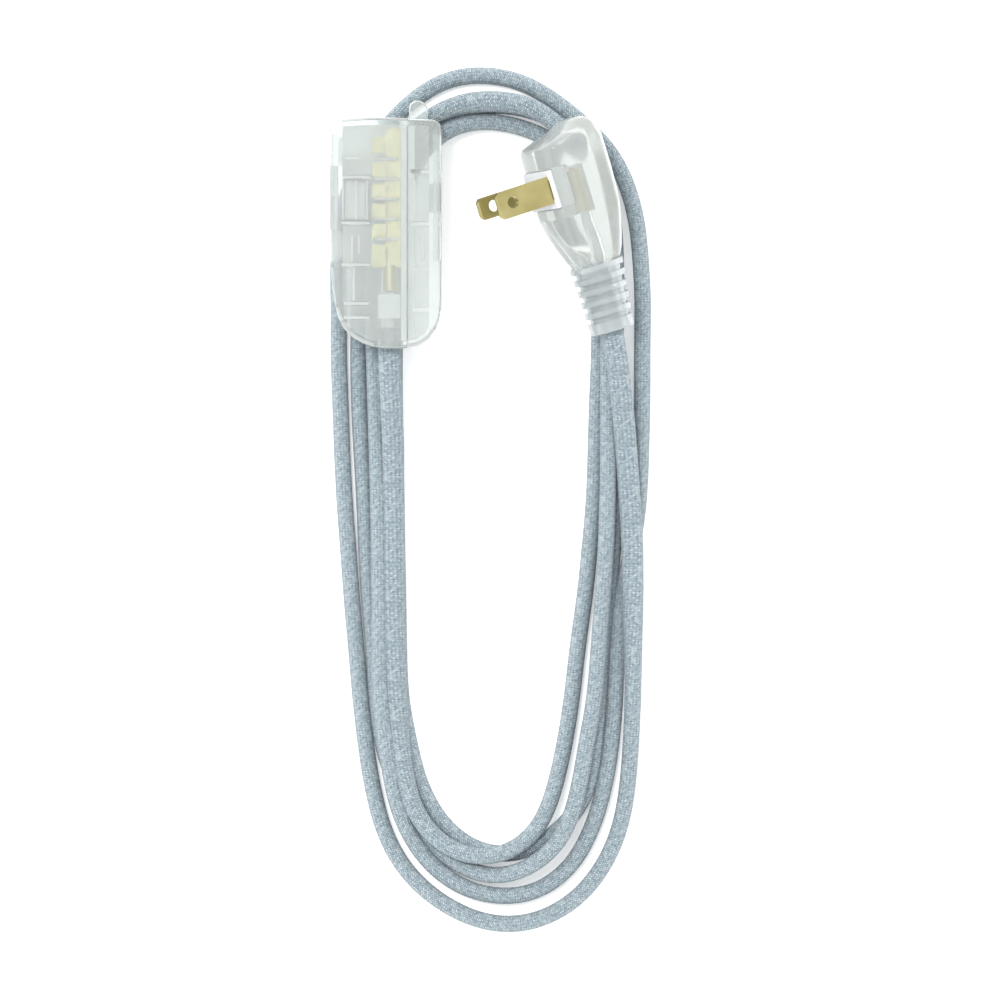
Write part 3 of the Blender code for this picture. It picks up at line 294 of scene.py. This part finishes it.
def sweep_tree(name):
    """A tree that sweeps an oval along a curve and lays a UV map of turn and length on it."""
    tree = bpy.data.node_groups.new(name, "GeometryNodeTree")
    face = tree.interface
    face.new_socket("Geometry", in_out="INPUT", socket_type="NodeSocketGeometry")
    face.new_socket("Half thickness", in_out="INPUT", socket_type="NodeSocketFloat")
    face.new_socket("Half width", in_out="INPUT", socket_type="NodeSocketFloat")
    face.new_socket("Points round", in_out="INPUT", socket_type="NodeSocketInt")
    face.new_socket("Material", in_out="INPUT", socket_type="NodeSocketMaterial")
    face.new_socket("Geometry", in_out="OUTPUT", socket_type="NodeSocketGeometry")
    given = add_node(tree, "NodeGroupInput").outputs
    length = add_node(tree, "GeometryNodeSplineParameter").outputs["Length"]
    path = add_node(tree, "GeometryNodeCaptureAttribute", {"Geometry": given["Geometry"]})
    path.capture_items.new("FLOAT", "Along")
    tree.links.new(length, path.inputs["Along"])
    ring = add_node(
        tree,
        "GeometryNodeCurveArc",
        {"Resolution": given["Points round"], "Radius": 1.0, "Sweep Angle": 2 * math.pi},
    )
    turn = add_node(tree, "GeometryNodeSplineParameter").outputs["Factor"]
    profile = add_node(tree, "GeometryNodeCaptureAttribute", {"Geometry": ring.outputs["Curve"]})
    profile.capture_items.new("FLOAT", "Around")
    tree.links.new(turn, profile.inputs["Around"])
    scale = add_node(
        tree,
        "ShaderNodeCombineXYZ",
        {"X": given["Half thickness"], "Y": given["Half width"], "Z": 1.0},
    )
    oval = add_node(
        tree,
        "GeometryNodeTransform",
        {"Geometry": profile.outputs["Geometry"], "Scale": scale.outputs[0]},
    )
    swept = add_node(
        tree,
        "GeometryNodeCurveToMesh",
        {"Curve": path.outputs["Geometry"], "Profile Curve": oval.outputs["Geometry"]},
    )
    uv = add_node(
        tree,
        "ShaderNodeCombineXYZ",
        {"X": profile.outputs["Around"], "Y": path.outputs["Along"], "Z": 0.0},
    )
    stored = add_node(
        tree,
        "GeometryNodeStoreNamedAttribute",
        {"Geometry": swept.outputs["Mesh"], "Name": "UVMap", "Value": uv.outputs[0]},
        data_type="FLOAT2",
        domain="CORNER",
    )
    joined = add_node(
        tree,
        "GeometryNodeMergeByDistance",
        {"Geometry": stored.outputs["Geometry"], "Distance": 0.01 * MM},
    )
    smooth = add_node(
        tree, "GeometryNodeSetShadeSmooth", {"Geometry": joined.outputs["Geometry"]}
    )
    real = add_node(
        tree, "GeometryNodeRealizeInstances", {"Geometry": smooth.outputs["Geometry"]}
    )
    finished = add_node(
        tree,
        "GeometryNodeSetMaterial",
        {"Geometry": real.outputs["Geometry"], "Material": given["Material"]},
    )
    add_node(tree, "NodeGroupOutput", {"Geometry": finished.outputs["Geometry"]})
    return tree


def apply_tree(source, tree, name, **values):
    """Runs the tree on the source object and returns its result as a plain mesh object."""
    step = source.modifiers.new("Build", "NODES")
    step.node_group = tree
    for item in tree.interface.items_tree:
        if item.item_type == "SOCKET" and item.in_out == "INPUT" and item.name in values:
            step[item.identifier] = values[item.name]
    bpy.context.view_layer.update()
    ready = source.evaluated_get(bpy.context.evaluated_depsgraph_get())
    mesh = bpy.data.meshes.new_from_object(ready)
    source.modifiers.remove(step)
    bpy.data.objects.remove(source, do_unlink=True)
    mesh.name = name
    made = bpy.data.objects.new(name, mesh)
    bpy.context.scene.collection.objects.link(made)
    return made


def close_ends(thing):
    """Closes the open ends of a swept piece."""
    work = bmesh.new()
    work.from_mesh(thing.data)
    rims = [edge for edge in work.edges if edge.is_boundary]
    bmesh.ops.holes_fill(work, edges=rims, sides=0)
    bmesh.ops.recalc_face_normals(work, faces=work.faces[:])
    work.to_mesh(thing.data)
    work.free()


def swept_piece(name, rows, half_thickness, half_width, surface, points_round=24):
    """A closed oval tube along rows of x, y, z and tilt."""
    curve = bpy.data.curves.new(name + "_line", "CURVE")
    curve.dimensions = "3D"
    curve.twist_mode = "Z_UP"
    spline = curve.splines.new("POLY")
    spline.points.add(len(rows) - 1)
    for point, row in zip(spline.points, rows):
        point.co = (row[0], row[1], row[2], 1.0)
        point.tilt = row[3]
    line = bpy.data.objects.new(name + "_line", curve)
    bpy.context.scene.collection.objects.link(line)
    values = {
        "Half thickness": half_thickness,
        "Half width": half_width,
        "Points round": points_round + 1,
        "Material": surface,
    }
    made = apply_tree(line, SWEEP, name, **values)
    close_ends(made)
    return made


SWEEP = sweep_tree("Sweep_oval_along_line")
ON_ITS_FLAT = math.pi / 2
cord_rows = smooth_route([(x * MM, y * MM, z * MM, flat) for x, y, z, flat in ROUTE], CORD_STEP)
cord_rows[:, 3] *= ON_ITS_FLAT
cord = swept_piece("cord", cord_rows, CORD_THICKNESS / 2, CORD_WIDTH / 2, cord_sleeve())
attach(cord, BODY)
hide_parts("cord_hank", "cord_lead_receptacle", "cord_lead_plug")


# ---- Receptacle block ----
# Two moulded shells of clear styrene, slightly green-grey, clipped together at a seam. The walls
# are thin and polished, so their edges look brighter and denser than their faces.


def clear_plastic(name, colour, clarity, roughness):
    """Clear moulded plastic: mostly see-through, with a little milkiness that scatters light."""
    made, tree, shader = start_material(name)
    place = add_node(tree, "ShaderNodeTexCoord")
    flow = add_node(
        tree,
        "ShaderNodeTexNoise",
        {"Vector": place.outputs["Object"], "Scale": 90.0, "Detail": 2.0},
    )
    tint = add_node(tree, "ShaderNodeValToRGB", {"Fac": flow.outputs["Fac"]})
    tint.color_ramp.elements[0].color = linear(colour[0])
    tint.color_ramp.elements[1].color = linear(colour[1])
    tree.links.new(tint.outputs["Color"], shader.inputs["Base Color"])
    bump = add_node(
        tree,
        "ShaderNodeBump",
        {"Height": flow.outputs["Fac"], "Strength": 0.15, "Distance": 0.2 * MM},
    )
    tree.links.new(bump.outputs["Normal"], shader.inputs["Normal"])
    shader.inputs["Transmission Weight"].default_value = clarity
    shader.inputs["Roughness"].default_value = roughness
    shader.inputs["IOR"].default_value = 1.5
    return made


def add_boxes(work, boxes, material_index=0, place=None):
    """Adds closed boxes, each given by two opposite corners, and returns their corners."""
    corners = []
    for low, high in boxes:
        made = bmesh.ops.create_cube(work, size=1.0)["verts"]
        for corner in made:
            corner.co = [
                low[axis] if corner.co[axis] < 0 else high[axis] for axis in range(3)
            ]
            if place:
                corner.co = place @ corner.co
        for face in {face for corner in made for face in corner.link_faces}:
            face.material_index = material_index
        corners += made
    return corners


def cut_boxes(thing, boxes, place=None):
    """Cuts the boxes out of the piece."""
    work = bmesh.new()
    add_boxes(work, boxes, place=place)
    mesh = bpy.data.meshes.new("Cutter")
    work.to_mesh(mesh)
    work.free()
    cutter = bpy.data.objects.new("Cutter", mesh)
    bpy.context.scene.collection.objects.link(cutter)
    step = thing.modifiers.new("Cut", "BOOLEAN")
    step.operation = "DIFFERENCE"
    step.solver = "EXACT"
    step.object = cutter
    bpy.context.view_layer.update()
    ready = thing.evaluated_get(bpy.context.evaluated_depsgraph_get())
    result = bpy.data.meshes.new_from_object(ready)
    thing.modifiers.remove(step)
    result.name = thing.name
    thing.data = result
    bpy.data.objects.remove(cutter, do_unlink=True)


def sharpen(mesh, angle):
    """Smooth shading that keeps every edge sharper than the angle crisp."""
    work = bmesh.new()
    work.from_mesh(mesh)
    for face in work.faces:
        face.smooth = True
    for edge in work.edges:
        if len(edge.link_faces) == 2:
            edge.smooth = edge.calc_face_angle() < math.radians(angle)
    work.to_mesh(mesh)
    work.free()


def merged_copy(node, name, surfaces, body=BODY, angle=38.0, bevel=0.0, cuts=(), place=None):
    """A piece that stands for a CAD node: the same shape with joined faces and soft edges."""
    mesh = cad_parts[node].data.copy()
    mesh.name = name
    work = bmesh.new()
    work.from_mesh(mesh)
    bmesh.ops.remove_doubles(work, verts=work.verts[:], dist=1e-6)
    bmesh.ops.dissolve_limit(
        work, angle_limit=math.radians(0.5), verts=work.verts[:], edges=work.edges[:]
    )
    work.to_mesh(mesh)
    work.free()
    mesh.materials.clear()
    made = bpy.data.objects.new(name, mesh)
    bpy.context.scene.collection.objects.link(made)
    if cuts:
        cut_boxes(made, cuts, place)
    sharpen(made.data, angle)
    made.data.materials.clear()
    for surface in surfaces:
        made.data.materials.append(surface)
    if bevel:
        step = made.modifiers.new("Soft_edges", "BEVEL")
        step.width = bevel
        step.segments = 2
        step.limit_method = "ANGLE"
        step.angle_limit = math.radians(angle)
        step.use_clamp_overlap = True
    made.modifiers.new("Flat_faces_stay_flat", "WEIGHTED_NORMAL").keep_sharp = True
    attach(made, body)
    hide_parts(node)
    return made


def millimetre_boxes(rows):
    """Boxes from rows of x, y and z ranges in millimetres."""
    return [
        ((x0 * MM, y0 * MM, z0 * MM), (x1 * MM, y1 * MM, z1 * MM))
        for x0, x1, y0, y1, z0, z1 in rows
    ]


shell_plastic = clear_plastic("Clear_moulded_styrene", ("#EDF3F1", "#F5FAF8"), 0.78, 0.09)
rib_plastic = clear_plastic("Spark_textured_styrene", ("#F8FBFA", "#FFFFFF"), 0.25, 0.4)

# Thin moulded ribs inside each shell: they stiffen the front and hold the contacts.
FINE_RIBS = {
    "left": (
        (-12.4, -11.9, 3.3, 14.4, 25.5, 33.4),
        (-8.7, -8.2, 3.3, 14.4, 25.5, 33.4),
        (-5.6, -5.1, 3.3, 14.4, 25.5, 33.4),
        (-9.8, -9.3, -8.6, -1.2, 25.5, 33.4),
        (-7.9, -7.4, -6.4, -1.2, 25.5, 33.4),
        (-9.4, -8.8, -19.8, -10.4, 25.5, 33.4),
        (-11.6, -7.6, 20.4, 21.0, 25.5, 33.4),
        (-11.6, -5.9, 3.6, 14.1, 30.6, 31.2),
        (-2.2, 4.2, -24.8, -18.0, 31.9, 33.2),
        *((-12.6, -4.4, y - 0.4, y + 0.4, 32.7, 33.3) for y in (15.4, 2.3, -9.6)),
        *((-12.0, -4.6, y - 0.4, y + 0.4, 32.7, 33.3) for y in (-20.6, -24.6)),
        *((-3.1, 3.4, y - 0.25, y + 0.25, 32.7, 33.3) for y in (20.6, 14.9, 9.1, 3.4, -2.3)),
    ),
    "right": (
        (10.4, 10.9, -8.4, -1.2, 25.5, 33.4),
        (7.9, 12.2, -11.0, -10.4, 25.5, 33.4),
        (8.0, 8.5, 5.4, 14.4, 25.5, 33.4),
    ),
}
INNER_HALF_WIDTH = 12.2
INNER_HALF_DEPTH = 9.4
INNER_BOTTOM, INNER_TOP = -31.0, 28.7
SEAM_X = 6.2

for side, rows in FINE_RIBS.items():
    shell = merged_copy(
        f"receptacle_{side}_shell", f"block_{side}_shell", (shell_plastic, rib_plastic)
    )
    # The ribs and the lip are textured in the mould; the walls are polished.
    for face in shell.data.polygons:
        centre = face.center / MM
        within_sides = abs(centre.x) < INNER_HALF_WIDTH and abs(centre.z - 23.8) < INNER_HALF_DEPTH
        within_ends = INNER_BOTTOM < centre.y < INNER_TOP
        at_seam = abs(centre.x - SEAM_X) < 0.4 and abs(face.normal.x) > 0.9
        if (within_sides and within_ends) or at_seam:
            face.material_index = 1
    work = bmesh.new()
    work.from_mesh(shell.data)
    add_boxes(work, millimetre_boxes(rows), 1)
    work.to_mesh(shell.data)
    work.free()


# ---- Sliding covers ----
# Pale flanged plates of translucent moulded plastic, three in all. Each is held by its flanges in
# a track of the shell and slides along it to close an outlet; grooves in its face give a grip.

cover_plastic = clear_plastic("Translucent_cover_plastic", ("#F4F8FB", "#FCFEFF"), 0.55, 0.2)
for node, body in (
    ("left_upper_cover", "left_upper_slider"),
    ("left_lower_cover", "left_lower_slider"),
    ("right_cover", "right_slider"),
):
    cover = merged_copy(node, node + "_plate", (cover_plastic,), body, bevel=0.12 * MM)


# ---- Bus strips and blades ----
# Stamped and folded brass strip, bright but not polished, with faint rolling lines. The strips
# sit in ribs inside the block, and the blades are held by the bridge moulded round them.


def stamped_brass():
    """Rolled brass, dulled in cloudy patches, with rolling lines that vary its gloss."""
    made, tree, shader = start_material("Stamped_rolled_brass")
    place = add_node(tree, "ShaderNodeTexCoord")
    stretch = add_node(
        tree,
        "ShaderNodeMapping",
        {"Vector": place.outputs["Object"], "Scale": (1.0, 8.0, 8.0)},
    )
    rolling = add_node(
        tree,
        "ShaderNodeTexNoise",
        {"Vector": stretch.outputs["Vector"], "Scale": 350.0, "Detail": 3.0},
    )
    tarnish = add_node(
        tree,
        "ShaderNodeTexNoise",
        {"Vector": place.outputs["Object"], "Scale": 120.0, "Detail": 2.0},
    )
    tone = add_node(tree, "ShaderNodeValToRGB", {"Fac": tarnish.outputs["Fac"]})
    tone.color_ramp.elements[0].position = 0.3
    tone.color_ramp.elements[0].color = linear("#ACA26C")
    tone.color_ramp.elements[1].position = 0.75
    tone.color_ramp.elements[1].color = linear("#C2B883")
    tree.links.new(tone.outputs["Color"], shader.inputs["Base Color"])
    rough = add_node(
        tree,
        "ShaderNodeMapRange",
        {"Value": rolling.outputs["Fac"], "To Min": 0.26, "To Max": 0.42},
    )
    tree.links.new(rough.outputs["Result"], shader.inputs["Roughness"])
    bump = add_node(
        tree,
        "ShaderNodeBump",
        {"Height": rolling.outputs["Fac"], "Strength": 0.1, "Distance": 0.05 * MM},
    )
    tree.links.new(bump.outputs["Normal"], shader.inputs["Normal"])
    shader.inputs["Metallic"].default_value = 1.0
    return made


brass = stamped_brass()

# Notches part the strip into the spring fingers that grip a blade at each outlet.
NOTCHES = millimetre_boxes(
    [
        (-5.0, 0.2, low, high, 10.0, 40.0)
        for low, high in (
            (26.8, 31.0),
            (19.6, 22.3),
            (13.5, 15.3),
            (7.8, 9.4),
            (2.0, 3.6),
            (-3.8, -2.4),
        )
    ]
    + [
        (0.1, 0.5, low, high, 10.0, 40.0)
        for low, high in (
            (23.0, 26.1),
            (16.0, 18.9),
            (10.1, 12.8),
            (4.3, 7.1),
            (-1.7, 1.3),
            (-9.3, -4.5),
        )
    ]
)
for node in ("hot_bus", "neutral_bus"):
    strip = merged_copy(node, node + "_strip", (brass,), bevel=0.15 * MM, cuts=NOTCHES)

# The plug's own axes: out along the blades, up across them, and on to the rear blade.
plug_out = Vector((-0.861, -0.291, 0.422)).normalized()
plug_up = Vector((-0.286, 0.957, 0.076))
plug_up = (plug_up - plug_up.dot(plug_out) * plug_out).normalized()
plug_place = Matrix.Translation(Vector((44.06, 11.26, 31.2)) * MM) @ Matrix(
    (plug_out, plug_up, plug_out.cross(plug_up))
).transposed().to_4x4()

# A gap in each rolled barrel, between the wire crimp and the insulation crimp.
BARREL_GAPS = millimetre_boxes([(-14.0, -9.2, -2.6, -0.9, -12.0, 12.0)])
to_plug = plug_place.inverted()
TIP_STARTS_AT = 17.3 * MM
SHORTEST_TIP_EDGE = 3.0 * MM
TIP_CHAMFER = 0.55 * MM
for node in ("plug_hot_blade", "plug_neutral_blade"):
    blade = merged_copy(
        node, node + "_strip", (brass,), bevel=0.25 * MM, cuts=BARREL_GAPS, place=plug_place
    )
    # The tip is coined to a chamfer so that it finds the slot.
    work = bmesh.new()
    work.from_mesh(blade.data)
    tips = [
        edge
        for edge in work.edges
        if min((to_plug @ corner.co).x for corner in edge.verts) > TIP_STARTS_AT
        and edge.calc_length() > SHORTEST_TIP_EDGE
    ]
    bmesh.ops.bevel(work, geom=tips, offset=TIP_CHAMFER, segments=1, affect="EDGES")
    work.to_mesh(blade.data)
    work.free()
    sharpen(blade.data, 30.0)


# ---- White insulation ----
# The moulded bridge that holds the blades and the cores' insulation: white plastic, faintly
# lavender, with a soft sheen.


def white_plastic():
    """White moulded nylon with a fine grain."""
    made, tree, shader = start_material("White_moulded_nylon")
    place = add_node(tree, "ShaderNodeTexCoord")
    grain = add_node(
        tree,
        "ShaderNodeTexNoise",
        {"Vector": place.outputs["Object"], "Scale": 400.0, "Detail": 2.0},
    )
    tone = add_node(tree, "ShaderNodeValToRGB", {"Fac": grain.outputs["Fac"]})
    tone.color_ramp.elements[0].color = linear("#D6D9E0")
    tone.color_ramp.elements[1].color = linear("#E8EAEF")
    tree.links.new(tone.outputs["Color"], shader.inputs["Base Color"])
    bump = add_node(
        tree,
        "ShaderNodeBump",
        {"Height": grain.outputs["Fac"], "Strength": 0.1, "Distance": 0.1 * MM},
    )
    tree.links.new(bump.outputs["Normal"], shader.inputs["Normal"])
    shader.inputs["Roughness"].default_value = 0.45
    return made


white = white_plastic()
for node in (
    "plug_blade_bridge",
    "plug_hot_wire",
    "plug_neutral_wire",
    "receptacle_hot_wire",
    "receptacle_neutral_wire",
):
    soft = 0.2 * MM if node == "plug_blade_bridge" else 0.0
    piece = merged_copy(node, node + "_white", (white,), bevel=soft)


# ---- Bare copper ends ----
# Twisted fine copper strands, bare for a few millimetres where each core is stripped.
# A rolled brass barrel crimps each end to its strip or blade.


def twisted_copper():
    """Bare copper with painted light and shade: diagonal bands, lit on the strands' crowns and
    shaded in the grooves where they twist.
    """
    made, tree, shader = start_material("Twisted_bare_copper")
    place = add_node(tree, "ShaderNodeTexCoord")
    # Painted light and shade: the wave bands lighten the crowns and darken the grooves of the
    # twisted strands.
    twist = add_node(
        tree,
        "ShaderNodeTexWave",
        {"Vector": place.outputs["Object"], "Scale": 700.0, "Distortion": 1.0},
        bands_direction="DIAGONAL",
    )
    tone = add_node(tree, "ShaderNodeValToRGB", {"Fac": twist.outputs["Fac"]})
    tone.color_ramp.elements[0].color = linear("#A85B3C")
    tone.color_ramp.elements[1].color = linear("#DE9A72")
    tree.links.new(tone.outputs["Color"], shader.inputs["Base Color"])
    shader.inputs["Metallic"].default_value = 1.0
    shader.inputs["Roughness"].default_value = 0.4
    return made


copper = twisted_copper()
for node in (
    "plug_hot_strands",
    "plug_neutral_strands",
    "receptacle_hot_strands",
    "receptacle_neutral_strands",
):
    piece = merged_copy(node, node + "_copper", (copper,))


# ---- Plug body ----
# One piece of clear flexible vinyl, injection moulded round the bridge, the crimps and the cord.
# Its lower end is a ribbed relief that lets the cord bend without breaking at the plug.

vinyl = clear_plastic("Clear_moulded_vinyl", ("#E4E9E6", "#EFF3F0"), 0.74, 0.15)
ribbed_vinyl = clear_plastic("Textured_vinyl_relief", ("#D3DADB", "#DDE4E5"), 0.6, 0.25)
plug = merged_copy("plug_overmould", "plug_body", (vinyl, ribbed_vinyl), angle=50.0)
# The relief is textured in the mould; the head is polished. Their border slopes up to the right.
RELIEF_BORDER = (52.6, -10.3)
BORDER_SLOPE = 0.24
for face in plug.data.polygons:
    centre = face.center / MM
    if centre.y < RELIEF_BORDER[1] + BORDER_SLOPE * (centre.x - RELIEF_BORDER[0]):
        face.material_index = 1


# ---- Floor and light ----
# White paper on a light table, so that little shadow shows, under a bright and even white room.
# A large soft lamp hangs high to one side and a small one stands low, to shape the edges.

FLOOR_REACH = 3.0
FLOOR_LEVEL = -0.0002
around = ((-1, -1), (1, -1), (1, 1), (-1, 1))
floor_mesh = bpy.data.meshes.new("Floor")
floor_mesh.from_pydata(
    [(x * FLOOR_REACH, y * FLOOR_REACH, FLOOR_LEVEL) for x, y in around], [], [(0, 1, 2, 3)]
)
floor = bpy.data.objects.new("Floor", floor_mesh)
bpy.context.scene.collection.objects.link(floor)
paper, paper_tree, paper_shader = start_material("Matte_white_paper")
paper_shader.inputs["Base Color"].default_value = linear("#FAFAFA")
paper_shader.inputs["Roughness"].default_value = 0.9
paper_shader.inputs["Emission Color"].default_value = (1.0, 1.0, 1.0, 1.0)
paper_shader.inputs["Emission Strength"].default_value = 0.35
floor_mesh.materials.append(paper)

world = bpy.data.worlds.new("Studio")
bpy.context.scene.world = world
world.use_nodes = True
world.node_tree.nodes["Background"].inputs["Color"].default_value = (1.0, 1.0, 1.0, 1.0)
world.node_tree.nodes["Background"].inputs["Strength"].default_value = 1.1


def lamp(name, place, size, power):
    """A round soft lamp that points at the middle of the floor."""
    data = bpy.data.lights.new(name, "AREA")
    data.shape = "DISK"
    data.size = size
    data.energy = power
    made = bpy.data.objects.new(name, data)
    made.location = place
    made.rotation_euler = (-Vector(place)).to_track_quat("-Z", "Y").to_euler()
    bpy.context.scene.collection.objects.link(made)


lamp("Overhead_lamp", (-0.9, 1.1, 6.0), 1.2, 180.0)
lamp("Side_lamp", (-0.9, 0.5, 1.2), 0.7, 3.0)
